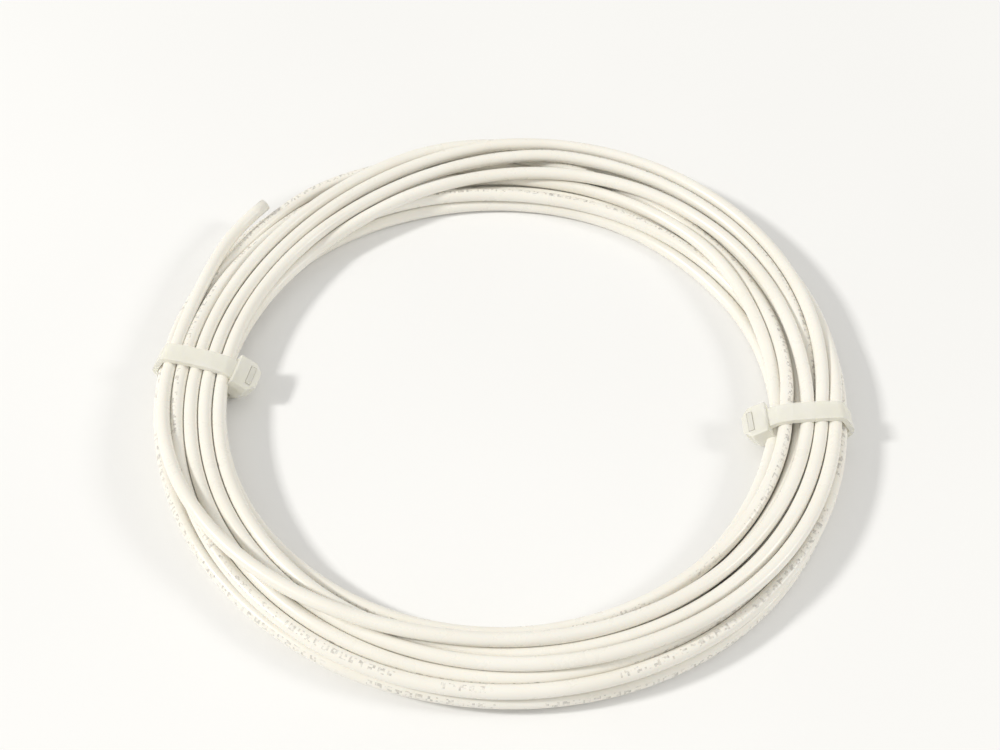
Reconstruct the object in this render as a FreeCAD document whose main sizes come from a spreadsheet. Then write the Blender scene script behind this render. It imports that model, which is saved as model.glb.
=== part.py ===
import FreeCAD, Part

import math
import os

from FreeCAD import Vector

# Coil of single-conductor hook-up wire held by two cable ties.
# Millimetres, +Z up. The origin is the middle of the coil on the surface that it lies on.
# Around the coil, an angle of 0 is +X, 90 is +Y, and the free end of the wire is near 136.

DIMENSIONS = {
    # Wire
    "wireDiameter": 3.1,
    "conductorDiameter": 1.6,
    "strandDiameter": 0.25,
    "strandLength": 5.0,
    # Cable ties, one moulding each: a strap, a head and, inside the head, a pawl
    "leftTieAngle": 175.1,
    "rightTieAngle": 352.2,
    "leftTieSkew": -8.5,
    "rightTieSkew": 10.5,
    "strapWidth": 4.8,
    "strapThickness": 1.2,
    "railWidth": 0.8,
    "toothPitch": 1.1,
    "toothDepth": 0.35,
    "tailStub": 0.05,
    "tailBend": 2.4,
    "rootLength": 1.6,
    "rootOffset": 0.9,
    "rootOverlap": 0.4,
    "headWidth": 8.0,
    "headLength": 6.0,
    "headHeight": 5.0,
    "headTilt": 34.0,
    "headChamfer": 1.9,
    "headRound": 0.35,
    "slotWidth": 5.1,
    "slotLength": 3.1,
    "slotGap": 0.1,
    "lipThickness": 0.55,
    "lipGap": 0.15,
    "pawlWidth": 4.4,
    "pawlThickness": 0.95,
    "pawlHingeDrop": 1.7,
    "pawlFoot": 0.3,
    "pawlWeb": 0.15,
    "pawlToothGap": 0.08,
    "pawlTipHeight": 1.5,
    "pawlToothPitch": 0.55,
    "pawlToothDepth": 0.3,
    "pawlToothRake": 0.1,
}

# Outline of the bundle of turns where a tie grips it: radius and height of the corner wires,
# from the inner top wire over the top and down the outside to the outer bottom wire.
GRIPPED_WIRES = ((63.85, 7.3), (66.9, 7.9), (73.2, 8.2), (76.4, 8.1), (78.0, 5.35), (76.5, 2.75))
GRIPPED_UNDERSIDE = ((67.2, 2.75), (64.5, 4.25))

# Outline of the bundle where nothing ties it: angle around the coil, then the radius and height
# of the same eight corner wires. The turns fan out and sink to the surface between the ties, so
# the lowest corners stand for wires pressed a little below it, and the underside is cut flat.
LOOSE_SECTIONS = (
    (18, (63.6, 5.9), (67.3, 6.9), (73.6, 7.5), (77.2, 7.1),
     (79.2, 3.9), (78.3, 1.3), (66.4, 1.3), (63.8, 2.3)),
    (42, (62.9, 5.0), (67.6, 6.5), (75.5, 7.4), (79.8, 7.2),
     (81.0, 4.0), (80.2, 1.3), (65.4, 1.3), (63.0, 1.9)),
    (68, (62.5, 4.5), (67.8, 6.4), (75.8, 7.4), (80.6, 7.2),
     (82.1, 4.0), (81.4, 1.3), (64.8, 1.3), (62.6, 1.8)),
    (94, (62.5, 4.5), (67.6, 6.4), (73.8, 7.4), (78.0, 7.1),
     (80.4, 4.0), (80.2, 1.3), (64.9, 1.3), (62.6, 1.8)),
    (120, (62.8, 5.0), (66.5, 6.6), (71.5, 7.3), (75.6, 6.6),
     (81.6, 3.0), (81.4, 1.3), (65.5, 1.3), (63.0, 1.9)),
    (146, (63.4, 5.9), (66.3, 7.0), (71.0, 7.3), (75.0, 6.4),
     (80.6, 3.0), (80.2, 1.3), (66.3, 1.3), (63.9, 2.3)),
    (163, (63.8, 6.7), (66.9, 7.4), (72.4, 7.7), (75.8, 7.1),
     (79.2, 4.2), (78.2, 2.0), (66.9, 2.0), (64.3, 3.3)),
    (198, (63.8, 6.3), (66.9, 7.4), (73.0, 8.7), (76.3, 8.2),
     (78.6, 4.4), (77.6, 1.3), (66.6, 1.3), (64.2, 2.8)),
    (222, (63.3, 5.6), (66.8, 7.5), (72.0, 9.0), (76.3, 7.6),
     (78.6, 4.0), (77.8, 1.3), (65.7, 1.3), (63.5, 2.0)),
    (248, (62.6, 5.2), (66.9, 8.3), (72.0, 8.0), (76.6, 7.0),
     (78.6, 3.8), (77.8, 1.3), (65.1, 1.3), (63.0, 1.9)),
    (274, (62.4, 5.0), (66.6, 7.6), (73.4, 7.5), (77.0, 6.8),
     (78.7, 3.8), (77.9, 1.3), (64.9, 1.3), (62.8, 1.8)),
    (300, (62.9, 5.2), (67.0, 7.5), (73.6, 7.5), (77.7, 6.9),
     (79.8, 3.8), (79.1, 1.3), (65.2, 1.3), (63.0, 1.9)),
    (326, (63.4, 5.9), (67.0, 7.3), (73.5, 7.7), (77.2, 7.3),
     (79.4, 4.0), (78.4, 1.3), (66.1, 1.3), (63.7, 2.3)),
)

# Half of the angle over which the coil keeps the gripped outline at a tie
GRIP_HALF_ANGLE = 3.4

# Radius of the upright line in the middle of the bundle that a tie is turned about
GRIP_RADIUS = 70.5

# Largest angle between two sections of the coil, so that it stays round
MAX_STEP = 9.0

# The block that cuts the coil's underside flat: wider than the coil, deeper than it reaches
BELOW_SIZE = 200
BELOW_DEPTH = 5

# Share of the shorter run beside a corner that its arc takes up
ARC_SHARE = 0.45

# The free end leaves the outer top of the bundle beside the left tie and ends in a bare cut,
# raised a little above the outermost turns.
FREE_END_ROUTE = (
    (-74.63, 15.86, 8.1),
    (-71.9, 29.1, 8.0),
    (-68.1, 42.4, 7.8),
    (-63.1, 51.9, 7.8),
    (-58.6, 56.4, 8.6),
)

# Where a strap's tooth groove starts and how much it takes of the pitch, and how far the cut
# starts above the strap's face
TOOTH_START = 0.15
TOOTH_SHARE = 0.7
TOOTH_CLEAR = 0.1

# Edges that belong together lie within this of each other
SAME_PLACE = 0.01

# Rings of strands in the conductor: number in the ring, radius of the ring in strand diameters
STRAND_RINGS = ((3, 0.6), (9, 1.62), (14, 2.66))

doc = FreeCAD.newDocument("WireCoil")
sheet = doc.addObject("Spreadsheet::Sheet", "Dimensions")
for row, (name, value) in enumerate(DIMENSIONS.items(), start=1):
    sheet.set("A%d" % row, name)
    sheet.set("B%d" % row, str(value))
    sheet.setAlias("B%d" % row, name)
doc.recompute()


def size(name):
    return float(sheet.get(name))


WIRE_RADIUS = size("wireDiameter") / 2


def bind(feature, prop, formula):
    feature.setExpression(prop, formula)


def cell(name):
    return "Dimensions." + name


def sketch_across(body, name):
    """A sketch in a body's own upright plane, across the bundle."""
    upright = [feature for feature in body.Origin.OriginFeatures if feature.Role == "XZ_Plane"]
    sketch = body.newObject("Sketcher::SketchObject", name)
    sketch.AttachmentSupport = [(upright[0], "")]
    sketch.MapMode = "FlatFace"
    return sketch


def new_body(label):
    body = doc.addObject("PartDesign::Body", label)
    body.Label = label
    return body


def left_of(direction):
    return Vector(-direction.y, direction.x, 0)


def heading(start, end):
    return (end - start).normalize()


class Outline:
    """A chain of straight runs and arcs round a list of circles, drawn clockwise in a plane."""

    def __init__(self, circles, headings, distance):
        self.circles = circles
        self.headings = headings
        self.distance = distance

    def touch(self, index, direction):
        centre, radius = self.circles[index]
        return centre + left_of(direction) * (radius + self.distance)

    def arc(self, index):
        before = self.headings[index]
        after = self.headings[index + 1]
        start = self.touch(index, before)
        end = self.touch(index, after)
        centre, radius = self.circles[index]
        middle = (left_of(before) + left_of(after)).normalize()
        return start, centre + middle * (radius + self.distance), end


def closed_outline(corners, radius):
    """Lines and arcs round circles of one radius, closed, clockwise."""
    count = len(corners)
    headings = [heading(corners[i - 1], corners[i]) for i in range(count)]
    headings.append(headings[0])
    outline = Outline([(corner, radius) for corner in corners], headings, 0.0)
    edges = []
    for index in range(count):
        start, middle, end = outline.arc(index)
        edges.append(Part.Arc(start, middle, end))
        following = outline.touch((index + 1) % count, headings[index + 1])
        edges.append(Part.LineSegment(end, following))
    return edges


def section_sketch(angle, corners):
    """The outline of the turns in the upright plane at an angle round the coil."""
    upright = FreeCAD.Rotation(Vector(1, 0, 0), 90)
    sketch = doc.addObject("Sketcher::SketchObject", "Turns%d" % round(angle))
    turned = FreeCAD.Rotation(Vector(0, 0, 1), angle) * upright
    sketch.Placement = FreeCAD.Placement(Vector(), turned)
    points = [Vector(radius, height, 0) for radius, height in corners]
    sketch.addGeometry(closed_outline(points, WIRE_RADIUS), False)
    return sketch


def between(first, second, share):
    """The section that lies at a share of the way from one section to another."""
    angle = first[0] + (second[0] - first[0]) * share
    corners = []
    for low, high in zip(first[1], second[1]):
        corners.append(tuple(a + (b - a) * share for a, b in zip(low, high)))
    return angle, tuple(corners)


def coil_sections():
    """Angle and corner wires of every section round the coil, in order, at most MAX_STEP apart."""
    listed = [(row[0], row[1:]) for row in LOOSE_SECTIONS]
    gripped = GRIPPED_WIRES + GRIPPED_UNDERSIDE
    for tie in ("leftTieAngle", "rightTieAngle"):
        for side in (-GRIP_HALF_ANGLE, GRIP_HALF_ANGLE):
            listed.append((size(tie) + side, gripped))
    listed.sort()
    sections = []
    for first, second in zip(listed, listed[1:] + [(listed[0][0] + 360, listed[0][1])]):
        steps = math.ceil((second[0] - first[0]) / MAX_STEP)
        sections += [between(first, second, index / steps) for index in range(steps)]
    return sections


def make_coil():
    """The outer shape of all the turns together, one closed ring with a flat underside."""
    sketches = [section_sketch(angle, corners) for angle, corners in coil_sections()]
    doc.recompute()
    loft = doc.addObject("Part::Loft", "Turns")
    loft.Sections = sketches
    loft.Solid = True
    loft.Ruled = True
    loft.Closed = True
    below = doc.addObject("Part::Box", "BelowSurface")
    below.Length = BELOW_SIZE
    below.Width = BELOW_SIZE
    below.Height = BELOW_DEPTH
    below.Placement.Base = Vector(-BELOW_SIZE / 2, -BELOW_SIZE / 2, -BELOW_DEPTH)
    coil = doc.addObject("Part::Cut", "wire_coil")
    coil.Label = "wire_coil"
    coil.Base = loft
    coil.Tool = below
    return coil


def tangent_path(points):
    """Straight runs joined by tangent arcs as large as the runs beside each corner allow."""
    edges = []
    start = points[0]
    for before, corner, after in zip(points, points[1:], points[2:]):
        incoming = heading(before, corner)
        outgoing = heading(corner, after)
        half_turn = incoming.getAngle(outgoing) / 2
        setback = ARC_SHARE * min((corner - before).Length, (after - corner).Length)
        radius = setback / math.tan(half_turn)
        arc_start = corner - incoming * setback
        arc_end = corner + outgoing * setback
        inward = (outgoing - incoming).normalize()
        arc_middle = corner + inward * (radius / math.cos(half_turn) - radius)
        print("bend radius %.1f mm" % radius)
        edges.append(Part.LineSegment(start, arc_start).toShape())
        edges.append(Part.Arc(arc_start, arc_middle, arc_end).toShape())
        start = arc_end
    edges.append(Part.LineSegment(start, points[-1]).toShape())
    return Part.Wire(edges)


def make_free_end():
    """The insulation of the free end, bored for the conductor where it is cut."""
    route = [Vector(*point) for point in FREE_END_ROUTE]
    path = tangent_path(route)
    first = heading(route[0], route[1])
    ring = Part.Circle(route[0], first, WIRE_RADIUS).toShape()
    tube = path.makePipeShell([Part.Wire([ring])], True, False)
    expected = math.pi * WIRE_RADIUS ** 2 * path.Length
    print("free end %.1f mm, volume %.1f of %.1f mm3" % (path.Length, tube.Volume, expected))
    last = heading(route[-2], route[-1])
    bore_start = route[-1] - last * size("strandLength")
    bore_length = size("strandLength") + 1
    bore = Part.makeCylinder(size("conductorDiameter") / 2, bore_length, bore_start, last)
    body = doc.addObject("Part::Feature", "wire_free_end")
    body.Label = "wire_free_end"
    body.Shape = tube.cut(bore)
    return body


def make_strands():
    """The cut ends of the 26 copper strands, flush with the insulation."""
    end = Vector(*FREE_END_ROUTE[-1])
    along = heading(Vector(*FREE_END_ROUTE[-2]), end)
    strand = doc.addObject("Part::Cylinder", "Strand")
    bind(strand, "Radius", cell("strandDiameter") + " / 2")
    bind(strand, "Height", cell("strandLength"))
    turn = FreeCAD.Rotation(Vector(0, 0, 1), along)
    base = end - along * size("strandLength")
    copies = []
    for count, ring in STRAND_RINGS:
        for index in range(count):
            angle = 2 * math.pi * index / count
            radius = ring * size("strandDiameter")
            place = Vector(radius * math.cos(angle), radius * math.sin(angle), 0)
            copy = doc.addObject("Part::Cylinder", "Strand")
            bind(copy, "Radius", "Strand.Radius")
            bind(copy, "Height", "Strand.Height")
            copy.Placement = FreeCAD.Placement(base + turn.multVec(place), turn)
            copies.append(copy)
    group = doc.addObject("Part::Compound", "free_end_strands")
    group.Label = "free_end_strands"
    group.Links = copies
    return group


class Tie:
    """A cable tie in the plane across the bundle: x is the radius from the coil's axis, y is up."""

    def __init__(self):
        tilt = math.radians(size("headTilt"))
        self.along = Vector(math.cos(tilt), math.sin(tilt), 0)
        self.across = left_of(self.along)
        thickness = size("strapThickness")
        wires = [Vector(radius, height, 0) for radius, height in GRIPPED_WIRES]
        root = wires[0] + self.across * (WIRE_RADIUS + thickness / 2)
        face = root - self.along * size("rootLength")
        self.head = face - self.along * (size("headLength") / 2) - self.across * size("rootOffset")
        self.tail_offset = size("slotLength") / 2 - size("slotGap") - thickness / 2
        self.strap_face = -self.tail_offset + thickness / 2
        bend = size("tailBend")
        bend_height = thickness + bend
        reach = self.head.dot(self.along) - self.tail_offset + bend + thickness / 2
        bend_radius = (reach - bend_height * self.along.y) / self.along.x
        self.circles = [(wire, WIRE_RADIUS) for wire in wires]
        self.circles.append((Vector(bend_radius, bend_height, 0), bend))
        turns = [heading(a, b) for a, b in zip(wires, wires[1:])]
        self.headings = [self.along] + turns + [Vector(-1, 0, 0), self.across]

    def at(self, along, across):
        """A point of the head, from its middle."""
        return self.head + self.along * along + self.across * across

    def box(self, half_along, half_across):
        """A rectangle round the head's middle."""
        return polygon([
            self.at(-half_along, -half_across),
            self.at(half_along, -half_across),
            self.at(half_along, half_across),
            self.at(-half_along, half_across),
        ])

    def edge(self, distance, backwards):
        """One long edge of the strap, as points and arcs from the root to the tail."""
        outline = Outline(self.circles, self.headings, distance)
        root_start = outline.touch(0, self.along)
        root_start = root_start - self.along * (size("rootLength") + size("rootOverlap"))
        last = outline.touch(len(self.circles) - 1, self.across)
        rise = (self.at(0, size("headHeight") / 2 + size("tailStub")) - last).dot(self.across)
        tail_end = last + self.across * rise
        edges = []
        start = root_start
        for index in range(len(self.circles)):
            arc_start, arc_middle, arc_end = outline.arc(index)
            edges.append(("line", start, arc_start))
            edges.append(("arc", arc_start, arc_middle, arc_end))
            start = arc_end
        edges.append(("line", start, tail_end))
        if backwards:
            edges = [(edge[0],) + tuple(reversed(edge[1:])) for edge in reversed(edges)]
        return edges

    def strap_outline(self):
        inner = self.edge(0.0, False)
        outer = self.edge(size("strapThickness"), True)
        chain = inner + [("line", inner[-1][-1], outer[0][1])] + outer
        chain.append(("line", outer[-1][-1], inner[0][1]))
        return [Part.LineSegment(*e[1:]) if e[0] == "line" else Part.Arc(*e[1:]) for e in chain]

    def tooth_grooves(self):
        """Sawtooth grooves across the inner side of the strap's two toothed straight runs."""
        pitch = size("toothPitch")
        depth = size("toothDepth")
        lines = []
        inner = [edge for edge in self.edge(0.0, False) if edge[0] == "line"]
        for _, start, end in inner[-2:]:
            direction = heading(start, end)
            outward = left_of(direction)
            count = int((end - start).Length / pitch)
            for index in range(count):
                low = start + direction * (pitch * (index + TOOTH_START))
                high = low + direction * (pitch * TOOTH_SHARE)
                deep = high + outward * depth
                above = [point - outward * TOOTH_CLEAR for point in (low, high)]
                corners = [above[0], low, deep, high, above[1]]
                for first, second in zip(corners, corners[1:] + corners[:1]):
                    lines.append(Part.LineSegment(first, second))
        return lines


def polygon(points):
    return [Part.LineSegment(a, b) for a, b in zip(points, points[1:] + points[:1])]


def padded(body, name, geometry, width, kind="PartDesign::Pad"):
    """A pad or pocket on both sides of the plane across the bundle."""
    sketch = sketch_across(body, name + "Outline")
    sketch.addGeometry(geometry, False)
    feature = body.newObject(kind, name)
    feature.Profile = sketch
    feature.SideType = "Symmetric"
    bind(feature, "Length", width)
    doc.recompute()
    body.Tip = feature
    return feature


def edges_where(feature, test):
    names = []
    for number, edge in enumerate(feature.Shape.Edges, start=1):
        if test([vertex.Point for vertex in edge.Vertexes]):
            names.append("Edge%d" % number)
    return names


def place_across(body, side):
    """Turns a tie's piece to its angle round the coil, and then skews it about the bundle."""
    angle = size(side + "TieAngle")
    skewed = FreeCAD.Rotation(Vector(0, 0, 1), angle + size(side + "TieSkew"))
    straight = FreeCAD.Rotation(Vector(0, 0, 1), angle)
    middle = Vector(GRIP_RADIUS, 0, 0)
    base = straight.multVec(middle) - skewed.multVec(middle)
    body.Placement = FreeCAD.Placement(base, skewed)
    turn = "%s + %s" % (cell(side + "TieAngle"), cell(side + "TieSkew"))
    bind(body, "Placement.Rotation.Angle", turn)
    return body.Placement


def make_tie(side, tie):
    """Head, strap and teeth of one tie, one moulding."""
    body = new_body(side + "_tie")
    half_length = size("headLength") / 2
    half_height = size("headHeight") / 2
    head = padded(body, "Head", tie.box(half_length, half_height), cell("headWidth"))

    def section_place(point):
        return (Vector(point.x, point.z, 0) - tie.head).dot(tie.along)

    def on_inner_end(points):
        level = [abs(section_place(point) + half_length) < SAME_PLACE for point in points]
        upright = len(points) == 2 and abs(points[0].y - points[1].y) < SAME_PLACE
        return all(level) and upright

    chamfer = body.newObject("PartDesign::Chamfer", "InnerCorners")
    chamfer.Base = (head, edges_where(head, on_inner_end))
    bind(chamfer, "Size", cell("headChamfer"))
    doc.recompute()

    def on_top(points):
        level = [(Vector(p.x, p.z, 0) - tie.head).dot(tie.across) for p in points]
        return all(abs(value - half_height) < SAME_PLACE for value in level)

    rounded = body.newObject("PartDesign::Fillet", "TopEdges")
    rounded.Base = (chamfer, edges_where(chamfer, on_top))
    bind(rounded, "Radius", cell("headRound"))
    doc.recompute()
    body.Tip = rounded
    slot_half = size("slotLength") / 2
    slot = tie.box(slot_half, half_height + 1)
    padded(body, "Slot", slot, cell("slotWidth"), "PartDesign::Pocket")

    # The slot's mouth is only as long as the strap: a lip covers the pawl's room beside it
    lip_start = tie.strap_face + size("lipGap")
    lip_end = slot_half + size("lipThickness")
    lip_foot = half_height - size("lipThickness")
    lip = [
        tie.at(lip_start, lip_foot),
        tie.at(lip_end, lip_foot),
        tie.at(lip_end, half_height),
        tie.at(lip_start, half_height),
    ]
    lip_width = "%s + %s" % (cell("slotWidth"), cell("lipThickness"))
    padded(body, "Lip", polygon(lip), lip_width)
    padded(body, "Strap", tie.strap_outline(), cell("strapWidth"))
    groove_width = cell("strapWidth") + " - 2 * " + cell("railWidth")
    padded(body, "Teeth", tie.tooth_grooves(), groove_width, "PartDesign::Pocket")
    place_across(body, side)
    return body


def make_pawl(side, tie):
    """The wedge that locks the strap: it hinges on the head beside the slot's mouth."""
    body = new_body(side + "_tie_pawl")
    back = size("slotLength") / 2 - size("pawlWeb")
    foot = -size("pawlHingeDrop") - size("pawlFoot")
    thick = size("pawlThickness")
    tip = tie.strap_face + size("pawlToothGap")
    deep = tip + size("pawlToothDepth")
    top = size("pawlTipHeight")
    pitch = size("pawlToothPitch")
    rake = size("pawlToothRake")
    profile = [
        tie.at(back, foot),
        tie.at(back, foot + thick),
        tie.at(tip + thick, top),
        tie.at(tip, top),
        tie.at(deep, top - pitch + rake),
        tie.at(tip, top - pitch),
        tie.at(deep, top - 2 * pitch + rake),
        tie.at(back - thick, foot),
    ]
    padded(body, "Wedge", polygon(profile), cell("pawlWidth"))
    placement = place_across(body, side)
    hinge = tie.at(back - thick / 2, -size("pawlHingeDrop"))
    line = placement.multVec(Vector(hinge.x, 0, hinge.y))
    axis = placement.Rotation.multVec(Vector(0, 1, 0))
    print("%s hinge at %.3f %.3f %.3f" % (body.Label, line.x, line.y, line.z))
    print("%s hinge axis %.6f %.6f" % (body.Label, axis.x, axis.y))
    return body


tie = Tie()
pieces = [
    make_coil(),
    make_free_end(),
    make_strands(),
    make_tie("left", tie),
    make_tie("right", tie),
    make_pawl("left", tie),
    make_pawl("right", tie),
]
doc.recompute()

for item in doc.Objects:
    if "Invalid" in item.State or "Error" in item.State:
        raise RuntimeError("%s did not compute" % item.Label)
for piece in pieces:
    if piece.Shape.isNull() or not piece.Shape.isValid():
        raise RuntimeError("%s has no valid shape" % piece.Label)

os.makedirs("parts", exist_ok=True)
for piece in pieces:
    piece.Shape.exportStep("parts/%s.step" % piece.Label)
    box = piece.Shape.BoundBox
    print("%s: %d solids, %.2f mm3" % (piece.Label, len(piece.Shape.Solids), piece.Shape.Volume))
    low, high = (box.XMin, box.YMin, box.ZMin), (box.XMax, box.YMax, box.ZMax)
    print("    from %.2f %.2f %.2f to %.2f %.2f %.2f" % (low + high))
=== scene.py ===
import math

import bpy
import numpy as np
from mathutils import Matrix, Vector


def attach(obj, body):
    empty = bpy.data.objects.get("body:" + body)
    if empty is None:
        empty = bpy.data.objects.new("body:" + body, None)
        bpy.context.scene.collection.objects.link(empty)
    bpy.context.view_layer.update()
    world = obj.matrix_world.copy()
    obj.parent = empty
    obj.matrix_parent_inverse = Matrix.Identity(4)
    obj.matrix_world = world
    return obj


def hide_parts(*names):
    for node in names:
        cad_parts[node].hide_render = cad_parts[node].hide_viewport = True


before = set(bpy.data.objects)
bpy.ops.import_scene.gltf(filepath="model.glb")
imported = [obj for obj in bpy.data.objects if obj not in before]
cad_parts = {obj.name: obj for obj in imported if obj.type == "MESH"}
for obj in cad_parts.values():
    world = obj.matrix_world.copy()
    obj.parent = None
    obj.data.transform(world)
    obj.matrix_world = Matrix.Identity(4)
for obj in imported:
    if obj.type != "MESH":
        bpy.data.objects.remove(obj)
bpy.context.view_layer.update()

# A coil of white hook-up wire held by two nylon cable ties.
# Wire and winding, in millimetres; MM turns them into Blender's metres.
MM = 0.001
WIRE = 3.1
BORE = 1.6
STRAND_END = 5.0
LEFT_TIE = 175.1
RIGHT_TIE = 352.2

# The free end, from its cut to where it joins the turns beside the left tie
FREE_END = (
    (-58.6, 56.4, 8.6),
    (-63.1, 51.9, 7.8),
    (-68.1, 42.4, 7.8),
    (-71.9, 29.1, 8.0),
    (-74.63, 15.86, 8.1),
)

# Places of the wire in the bundle at the two ties: radius and height
LEFT_SLOTS = {
    "T1": (76.4, 8.1), "T2": (73.2, 8.2), "T3": (70.0, 8.15), "T4": (66.9, 7.85), "T5": (63.85, 7.3),
    "M1": (78.0, 5.35), "M2": (74.85, 5.4), "M3": (71.75, 5.4), "M4": (68.6, 5.2), "M5": (64.5, 4.25),
    "B1": (76.5, 2.75), "B2": (73.4, 2.75), "B3": (70.3, 2.75), "B4": (67.2, 2.75),
}
RIGHT_SLOTS = {
    "T1": (76.4, 8.1), "T2": (73.3, 8.2), "T3": (70.2, 8.15), "T4": (65.4, 7.6),
    "M1": (78.0, 5.35), "M2": (74.85, 5.4), "M3": (71.75, 5.4), "M4": (68.65, 5.3), "M5": (63.5, 5.5),
    "B1": (76.5, 2.75), "B2": (73.4, 2.75), "B3": (70.3, 2.75), "B4": (67.2, 2.75), "B5": (64.2, 2.5),
}

# Where each turn runs, from the free end to the hidden one. A turn starts at the left tie, goes
# round by the near side to the right tie, and comes back by the far side. Between the ties its
# radius is given at each angle of NEAR_SIDE and FAR_SIDE, and its layer, 0 on the surface to 3
# on top of the rest. Both are listed one by one; those of the covered turns are invented.
NEAR_SIDE = (205, 235, 270, 300, 325)
FAR_SIDE = (380, 405, 430, 455, 480, 507)
TURNS = (
    ("T1", (76.2, 69.4, 66.9, 67.0, 69.2), "33322", "T3", (72.3, 73.0, 71.6, 66.9, 63.0, 63.4), "222211"),
    ("M5", (64.8, 63.2, 62.8, 62.9, 64.4), "11111", "T4", (68.0, 69.9, 72.6, 76.4, 79.0, 77.3), "111111"),
    ("M2", (73.6, 72.3, 70.8, 69.9, 71.4), "11111", "M3", (74.8, 77.2, 77.4, 72.3, 66.0, 63.4), "222222"),
    ("T5", (65.2, 66.6, 68.8, 70.6, 73.9), "22222", "T2", (77.2, 80.4, 82.0, 76.9, 70.6, 66.2), "222222"),
    ("T4", (68.0, 69.8, 72.2, 74.3, 77.2), "22333", "T1", (79.4, 80.2, 81.4, 80.4, 74.8, 69.9), "111122"),
    ("T3", (71.1, 72.6, 74.0, 74.6, 75.6), "22222", "M2", (74.2, 76.6, 78.4, 78.6, 78.2, 74.0), "100002"),
    ("T2", (74.1, 75.6, 77.0, 77.4, 78.3), "22221", "M1", (79.5, 81.2, 82.0, 81.8, 82.3, 81.2), "100000"),
    ("M1", (76.8, 77.0, 77.0, 78.8, 78.8), "11100", "B1", (76.2, 74.2, 72.6, 73.0, 75.2, 76.4), "000000"),
    ("B1", (75.4, 75.0, 74.6, 75.6, 75.8), "00000", "B2", (73.0, 70.8, 68.6, 68.6, 71.4, 73.0), "000000"),
    ("B2", (72.4, 71.9, 71.4, 72.4, 72.7), "00000", "B3", (69.7, 67.4, 65.9, 65.7, 67.8, 69.8), "001100"),
    ("B3", (69.3, 68.8, 68.2, 69.2, 69.6), "00000", "B4", (66.9, 64.4, 62.8, 63.2, 65.4, 68.0), "011111"),
    ("M4", (67.6, 65.7, 65.0, 66.0, 66.5), "10000", "B5", (64.9, 64.0, 63.1, 62.9, 64.6, 66.6), "000000"),
    ("B4", (65.6, 62.6, 61.8, 62.8, 63.4), "00000", "M5", (65.0, 67.3, 69.2, 69.0, 70.4, 71.6), "111111"),
    ("M3", (70.7, 69.2, 67.6, 66.7, 67.4), "11111", "M4", (69.8, 74.0, 75.8, 73.0, 73.4), "11111"),
)
LAYER_HEIGHTS = (1.6, 4.3, 7.0, 9.4)
HIDDEN_END = 473.0

# Settling: the wire is followed at points STEP degrees apart. Each round smooths it, pulls it to
# its stations in radius and height, lets it sink, and pushes touching turns apart.
STEP = 5
PER_TURN = 360 // STEP
ROUNDS = 420
SMOOTHING = 0.35
PULL = (0.25, 0.08)
SINKING = 0.02
SPARE = 0.06
PUSHES = 3
LEFT_HOLD = 1
RIGHT_HOLD = 4
RIGHT_BEFORE = 3.5
RIGHT_AFTER = 2


def smooth_between(angles, values, at):
    """A value along a turn: smooth through its stations, without overshooting them."""
    angles = np.asarray(angles, float)
    values = np.asarray(values, float)
    index = np.clip(np.searchsorted(angles, at) - 1, 0, len(angles) - 2)
    step = np.diff(angles)
    slope = np.diff(values) / step
    tangent = np.zeros(len(values))
    tangent[1:-1] = np.where(slope[1:] * slope[:-1] > 0, (slope[1:] + slope[:-1]) / 2, 0.0)
    share = (at - angles[index]) / step[index]
    low, high = values[index], values[index + 1]
    rise_low, rise_high = tangent[index] * step[index], tangent[index + 1] * step[index]
    square, cube = share ** 2, share ** 3
    return (
        low * (2 * cube - 3 * square + 1) + rise_low * (cube - 2 * square + share)
        + high * (3 * square - 2 * cube) + rise_high * (cube - square)
    )


def stations():
    """Angle along the whole wire, radius and height at every tie and station."""
    angles, radii, heights = [], [], []

    def add(angle, radius, height):
        angles.append(angle)
        radii.append(radius)
        heights.append(height)

    for number, (left, near, near_layers, right, far, far_layers) in enumerate(TURNS):
        turn = 360 * number
        add(turn + LEFT_TIE, *LEFT_SLOTS[left])
        for angle, radius, layer in zip(NEAR_SIDE, near, near_layers):
            add(turn + angle, radius, LAYER_HEIGHTS[int(layer)])
        for angle in (RIGHT_TIE - RIGHT_BEFORE, RIGHT_TIE + RIGHT_AFTER):
            add(turn + angle, *RIGHT_SLOTS[right])
        for angle, radius, layer in zip(FAR_SIDE, far, far_layers):
            add(turn + angle, radius, LAYER_HEIGHTS[int(layer)])
    return angles, radii, heights


def settled_turns():
    """Points of all the turns after they have pushed each other apart and sunk to the surface.

    A point keeps its angle. It is drawn to its station's radius, pressed down, kept one wire
    away from the other turns at the same angle and on the surface, and held fast at the ties.
    """
    angles, radii, heights = stations()
    last = 360 * (len(TURNS) - 1) + HIDDEN_END
    at = np.arange(LEFT_TIE, last, STEP)
    target = np.stack([smooth_between(angles, radii, at), smooth_between(angles, heights, at)], axis=1)
    place = target.copy()
    turned = at % 360
    held = np.abs(turned - LEFT_TIE) < LEFT_HOLD
    held |= np.abs(turned - RIGHT_TIE) < RIGHT_HOLD
    fixed = place[held].copy()
    apart = WIRE + SPARE
    for number in range(ROUNDS):
        calm = 1 - number / ROUNDS
        middle = (place[:-2] + place[2:]) / 2
        place[1:-1] += SMOOTHING * (middle - place[1:-1])
        place += calm * (target - place) * PULL
        place[:, 1] -= SINKING * calm
        for _ in range(PUSHES):
            for turns in range(1, len(TURNS)):
                offset = turns * PER_TURN
                gap = place[offset:] - place[:-offset]
                distance = np.maximum(np.hypot(gap[:, 0], gap[:, 1]), 1e-6)
                push = gap / distance[:, None] * (np.maximum(apart - distance, 0) / 2)[:, None]
                place[offset:] += push
                place[:-offset] -= push
            place[:, 1] = np.maximum(place[:, 1], WIRE / 2)
            place[held] = fixed
    turn = np.radians(at)
    return np.stack([place[:, 0] * np.cos(turn), place[:, 0] * np.sin(turn), place[:, 1]], axis=1)


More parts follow.
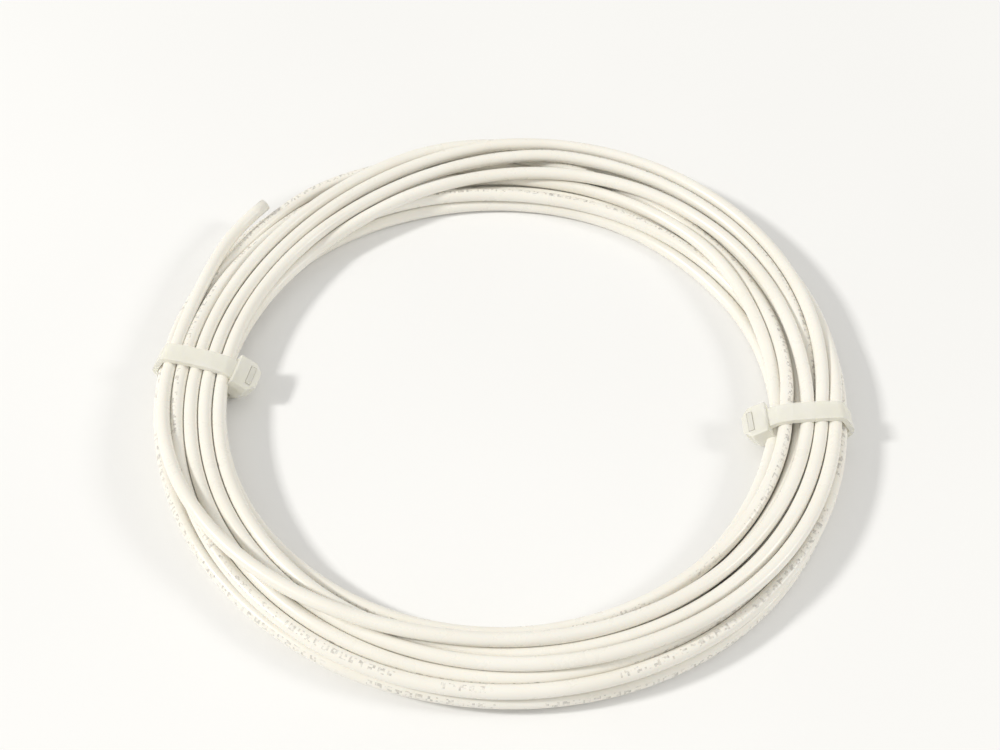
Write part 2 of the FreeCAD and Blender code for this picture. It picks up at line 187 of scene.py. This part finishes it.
def wire_line():
    """The wire's centreline: one open NURBS spline from the free end's cut to the hidden end."""
    points = list(FREE_END) + [tuple(point) for point in settled_turns()]
    curve = bpy.data.curves.new("wire_line", "CURVE")
    curve.dimensions = "3D"
    spline = curve.splines.new("NURBS")
    spline.points.add(len(points) - 1)
    for target, point in zip(spline.points, points):
        target.co = (*(value * MM for value in point), 1.0)
    spline.order_u = 3
    spline.use_endpoint_u = True
    spline.resolution_u = 3
    holder = bpy.data.objects.new("wire_line", curve)
    mesh = bpy.data.meshes.new_from_object(holder)
    line = np.array([vertex.co for vertex in mesh.vertices])
    bpy.data.objects.remove(holder)
    bpy.data.meshes.remove(mesh)
    return line


def frames_along(line):
    """Directions along a line, and two across it that don't twist, at each point."""
    along = np.gradient(line, axis=0)
    along /= np.linalg.norm(along, axis=1)[:, None]
    side = np.zeros_like(line)
    first = np.cross(along[0], (0, 0, 1))
    side[0] = first / np.linalg.norm(first)
    for index in range(1, len(line)):
        carried = side[index - 1] - along[index] * np.dot(side[index - 1], along[index])
        side[index] = carried / np.linalg.norm(carried)
    return along, side, np.cross(side, along)


# The wire's tube: its sides, and the soft edges of its cut ends
SIDES = 24
CUT_EDGE = 0.12
CUT_ROUND = 0.03
BORE_EDGE = 0.05
BORE_LEAD = 0.25


def make_wire(line):
    """The insulation: a tube round the line, bored at both cut ends for the conductor."""
    along, side, up = frames_along(line)
    run = np.concatenate([[0], np.cumsum(np.linalg.norm(np.diff(line, axis=0), axis=1))])
    rings = []

    def ring(index, radius, shift=0.0):
        centre = line[index] + along[index] * shift * MM
        rings.append((index, centre, radius, run[index] + shift * MM))

    cut = (
        (BORE / 2, STRAND_END),
        (BORE / 2, BORE_LEAD),
        (BORE / 2 + BORE_EDGE, 0.0),
        (WIRE / 2 - CUT_EDGE, 0.0),
        (WIRE / 2 - CUT_ROUND, CUT_ROUND),
    )
    for radius, inward in cut:
        ring(0, radius, inward)
    for index in range(1, len(line) - 1):
        ring(index, WIRE / 2)
    for radius, inward in reversed(cut):
        ring(len(line) - 1, radius, -inward)
    vertices, runs, turns = [], [], []
    for index, centre, radius, distance in rings:
        for number in range(SIDES):
            turn = 2 * math.pi * number / SIDES
            outward = side[index] * math.cos(turn) + up[index] * math.sin(turn)
            vertices.append(centre + outward * radius * MM)
            runs.append(distance)
            turns.append(number / SIDES)
    faces = []
    for row in range(len(rings) - 1):
        for number in range(SIDES):
            following = (number + 1) % SIDES
            a, b = row * SIDES + number, row * SIDES + following
            faces.append((a, a + SIDES, b + SIDES, b))
    start_cap = tuple(range(SIDES))
    end_cap = tuple(reversed(range((len(rings) - 1) * SIDES, len(rings) * SIDES)))
    faces += [start_cap, end_cap]
    mesh = bpy.data.meshes.new("wire_insulation")
    mesh.from_pydata([tuple(vertex) for vertex in vertices], [], faces)
    mesh.polygons.foreach_set("use_smooth", [True] * len(mesh.polygons))
    distances = mesh.attributes.new("run_mm", "FLOAT", "POINT")
    distances.data.foreach_set("value", [value / MM for value in runs])
    across = mesh.attributes.new("up_side", "FLOAT", "POINT")
    across.data.foreach_set("value", [math.cos(2 * math.pi * turn) for turn in turns])
    level = mesh.attributes.new("out_side", "FLOAT", "POINT")
    level.data.foreach_set("value", [math.sin(2 * math.pi * turn) for turn in turns])
    mesh.update()
    wire = bpy.data.objects.new("wire_insulation", mesh)
    bpy.context.scene.collection.objects.link(wire)
    return wire, run[-1]


def make_camera():
    """Looks down at the near side of the coil from 52 degrees above the surface."""
    camera = bpy.data.cameras.new("camera")
    camera.sensor_width = 36.0
    camera.lens = 58.46
    camera.clip_start = 0.02
    eye = bpy.data.objects.new("camera", camera)
    elevation = math.radians(52)
    distance = 0.384
    target = Vector((0.0001, 0.0089, 0.0))
    eye.location = target + Vector((0, -math.cos(elevation), math.sin(elevation))) * distance
    eye.rotation_euler = (math.pi / 2 - elevation, 0, 0)
    bpy.context.scene.collection.objects.link(eye)
    bpy.context.scene.camera = eye


class Nodes:
    """Short forms for building a material's node tree."""

    def __init__(self, name):
        self.material = bpy.data.materials.new(name)
        self.material.use_nodes = True
        self.tree = self.material.node_tree
        self.shader = self.tree.nodes["Principled BSDF"]

    def add(self, kind, **settings):
        node = self.tree.nodes.new(kind)
        for key, value in settings.items():
            setattr(node, key, value)
        return node

    def link(self, source, target):
        self.tree.links.new(source, target)

    def math(self, operation, first, second=None, clamp=False):
        node = self.add("ShaderNodeMath", operation=operation, use_clamp=clamp)
        for socket, value in zip(node.inputs, (first, second)):
            if value is None:
                continue
            if isinstance(value, (int, float)):
                socket.default_value = value
            else:
                self.link(value, socket)
        return node.outputs[0]

    def noise(self, scale, detail=3.0, roughness=0.5, vector=None):
        node = self.add("ShaderNodeTexNoise")
        node.inputs["Scale"].default_value = scale
        node.inputs["Detail"].default_value = detail
        node.inputs["Roughness"].default_value = roughness
        if vector is not None:
            self.link(vector, node.inputs["Vector"])
        return node.outputs["Fac"]

    def mix(self, share, first, second):
        node = self.add("ShaderNodeMix", data_type="RGBA")
        self.link(share, node.inputs["Factor"])
        for socket, value in ((node.inputs[6], first), (node.inputs[7], second)):
            if isinstance(value, tuple):
                socket.default_value = (*value, 1.0)
            else:
                self.link(value, socket)
        return node.outputs[2]

    def range(self, value, low, high, to_low=0.0, to_high=1.0):
        node = self.add("ShaderNodeMapRange")
        self.link(value, node.inputs["Value"])
        node.inputs["From Min"].default_value = low
        node.inputs["From Max"].default_value = high
        node.inputs["To Min"].default_value = to_low
        node.inputs["To Max"].default_value = to_high
        return node.outputs["Result"]

    def bump(self, height, strength, distance):
        node = self.add("ShaderNodeBump")
        node.inputs["Strength"].default_value = strength
        node.inputs["Distance"].default_value = distance
        self.link(height, node.inputs["Height"])
        self.link(node.outputs["Normal"], self.shader.inputs["Normal"])

    def coordinates(self):
        return self.add("ShaderNodeTexCoord").outputs["Object"]


def insulation_material():
    """White PVC with a soft gloss, faint cloudiness and a worn grey legend of plain marks."""
    nodes = Nodes("insulation")
    place = nodes.coordinates()
    run = nodes.add("ShaderNodeAttribute", attribute_name="run_mm").outputs["Fac"]
    up_side = nodes.add("ShaderNodeAttribute", attribute_name="up_side").outputs["Fac"]
    out_side = nodes.add("ShaderNodeAttribute", attribute_name="out_side").outputs["Fac"]

    # The legend's line wanders slowly round the wire
    swing = nodes.math("SUBTRACT", nodes.math("MULTIPLY", run, 0.0031), 1.3)
    wander = nodes.math("MULTIPLY", nodes.math("SINE", swing), 1.3)
    wander = nodes.math("ADD", wander, 0.1)
    height = nodes.math(
        "ADD",
        nodes.math("MULTIPLY", up_side, nodes.math("COSINE", wander)),
        nodes.math("MULTIPLY", out_side, nodes.math("SINE", wander)),
    )
    cross = nodes.math(
        "SUBTRACT",
        nodes.math("MULTIPLY", out_side, nodes.math("COSINE", wander)),
        nodes.math("MULTIPLY", up_side, nodes.math("SINE", wander)),
    )
    front = nodes.math("GREATER_THAN", height, 0.6)
    band = nodes.math("LESS_THAN", nodes.math("ABSOLUTE", cross), 0.42)

    # Marks: strokes of random length on a fine grid, in groups with gaps between them
    grid = nodes.add("ShaderNodeCombineXYZ")
    nodes.link(nodes.math("MULTIPLY", run, 1.9), grid.inputs["X"])
    nodes.link(nodes.math("MULTIPLY", cross, 3.4), grid.inputs["Y"])
    cell = nodes.add("ShaderNodeVectorMath", operation="FLOOR")
    nodes.link(grid.outputs["Vector"], cell.inputs[0])
    chance = nodes.add("ShaderNodeTexWhiteNoise", noise_dimensions="2D")
    nodes.link(cell.outputs["Vector"], chance.inputs["Vector"])
    stroke = nodes.math("GREATER_THAN", chance.outputs["Value"], 0.42)
    letter_gap = nodes.math("FRACT", nodes.math("MULTIPLY", run, 0.475))
    inside_letter = nodes.math("GREATER_THAN", letter_gap, 0.3)
    group = nodes.add("ShaderNodeTexWhiteNoise", noise_dimensions="1D")
    nodes.link(nodes.math("FLOOR", nodes.math("MULTIPLY", run, 0.11)), group.inputs["W"])
    in_group = nodes.math("GREATER_THAN", group.outputs["Value"], 0.18)
    wear = nodes.range(nodes.noise(900.0, 3.0, 0.6, place), 0.38, 0.62)
    ink = nodes.math("MULTIPLY", nodes.math("MULTIPLY", front, band), stroke)
    ink = nodes.math("MULTIPLY", nodes.math("MULTIPLY", ink, inside_letter), in_group)
    ink = nodes.math("MULTIPLY", nodes.math("MULTIPLY", ink, wear), 0.55, clamp=True)

    cloud = nodes.range(nodes.noise(45.0, 3.0, 0.55, place), 0.3, 0.7)
    plastic = nodes.mix(cloud, (0.87, 0.84, 0.765), (0.915, 0.89, 0.825))
    nodes.link(nodes.mix(ink, plastic, (0.32, 0.30, 0.28)), nodes.shader.inputs["Base Color"])
    gloss = nodes.range(nodes.noise(260.0, 3.0, 0.6, place), 0.3, 0.7, 0.24, 0.36)
    nodes.link(gloss, nodes.shader.inputs["Roughness"])
    nodes.shader.inputs["Subsurface Weight"].default_value = 0.2
    nodes.shader.inputs["Subsurface Radius"].default_value = (0.0012, 0.0010, 0.0008)
    nodes.shader.inputs["Subsurface Scale"].default_value = 1.0
    nodes.bump(nodes.noise(420.0, 4.0, 0.6, place), 0.12, 0.0002)
    return nodes.material


def nylon_material():
    """Natural nylon: milky, a little light comes through, fine moulding texture."""
    nodes = Nodes("natural_nylon")
    place = nodes.coordinates()
    cloud = nodes.range(nodes.noise(160.0, 3.0, 0.5, place), 0.3, 0.7)
    nodes.link(nodes.mix(cloud, (0.96, 0.94, 0.835), (0.985, 0.97, 0.89)), nodes.shader.inputs["Base Color"])
    gloss = nodes.range(nodes.noise(500.0, 3.0, 0.6, place), 0.3, 0.7, 0.30, 0.46)
    nodes.link(gloss, nodes.shader.inputs["Roughness"])
    nodes.shader.inputs["IOR"].default_value = 1.53
    nodes.shader.inputs["Alpha"].default_value = 0.68
    nodes.shader.inputs["Subsurface Weight"].default_value = 0.25
    nodes.shader.inputs["Subsurface Radius"].default_value = (0.0008, 0.0008, 0.0006)
    nodes.shader.inputs["Subsurface Scale"].default_value = 1.0
    nodes.bump(nodes.noise(800.0, 4.0, 0.6, place), 0.15, 0.0001)
    return nodes.material


def copper_material():
    """Bare soft copper, dulled a little where it was cut."""
    nodes = Nodes("copper_strands")
    place = nodes.coordinates()
    dull = nodes.range(nodes.noise(1500.0, 3.0, 0.6, place), 0.35, 0.7)
    nodes.link(nodes.mix(dull, (0.86, 0.47, 0.30), (0.55, 0.29, 0.19)), nodes.shader.inputs["Base Color"])
    nodes.link(nodes.range(dull, 0.0, 1.0, 0.28, 0.5), nodes.shader.inputs["Roughness"])
    nodes.shader.inputs["Metallic"].default_value = 1.0
    return nodes.material


def floor_material():
    nodes = Nodes("pale_surface")
    place = nodes.coordinates()
    cloud = nodes.range(nodes.noise(6.0, 2.0, 0.5, place), 0.3, 0.7)
    nodes.link(nodes.mix(cloud, (0.90, 0.90, 0.90), (0.93, 0.93, 0.93)), nodes.shader.inputs["Base Color"])
    nodes.shader.inputs["Roughness"].default_value = 0.45
    return nodes.material


def paint(node, material):
    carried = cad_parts[node]
    carried.data.materials.clear()
    carried.data.materials.append(material)


def make_stage():
    bpy.ops.mesh.primitive_plane_add(size=4.0, location=(0, 0, -0.0001))
    floor = bpy.context.object
    floor.name = "floor"
    floor.data.materials.append(floor_material())


def area_light(name, place, target, size, power, colour):
    light = bpy.data.lights.new(name, "AREA")
    light.shape = "SQUARE"
    light.size = size
    light.energy = power
    light.color = colour
    holder = bpy.data.objects.new(name, light)
    holder.location = place
    holder.rotation_euler = (Vector(target) - Vector(place)).to_track_quat("-Z", "Y").to_euler()
    bpy.context.scene.collection.objects.link(holder)


def make_lights():
    area_light("key_left", (-1.88, -0.25, 1.56), (0, 0, 0), 0.30, 33.0, (1.0, 0.985, 0.95))
    area_light("fill_right", (1.5, -0.15, 1.05), (0, 0, 0), 0.40, 7.0, (1.0, 0.99, 0.965))
    world = bpy.data.worlds.new("studio")
    world.use_nodes = True
    background = world.node_tree.nodes["Background"]
    background.inputs["Color"].default_value = (1.0, 0.99, 0.955, 1.0)
    background.inputs["Strength"].default_value = 0.60
    bpy.context.scene.world = world
    bpy.context.scene.view_settings.view_transform = "Standard"


make_camera()
line = wire_line()
wire, wire_length = make_wire(line)
print("wire length %.3f m" % wire_length)
wire.data.materials.append(insulation_material())
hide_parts("wire_coil", "wire_free_end")
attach(wire, "coil")

nylon = nylon_material()
for name in ("left_tie", "right_tie", "left_tie_pawl", "right_tie_pawl"):
    paint(name, nylon)
paint("free_end_strands", copper_material())

make_stage()
make_lights()
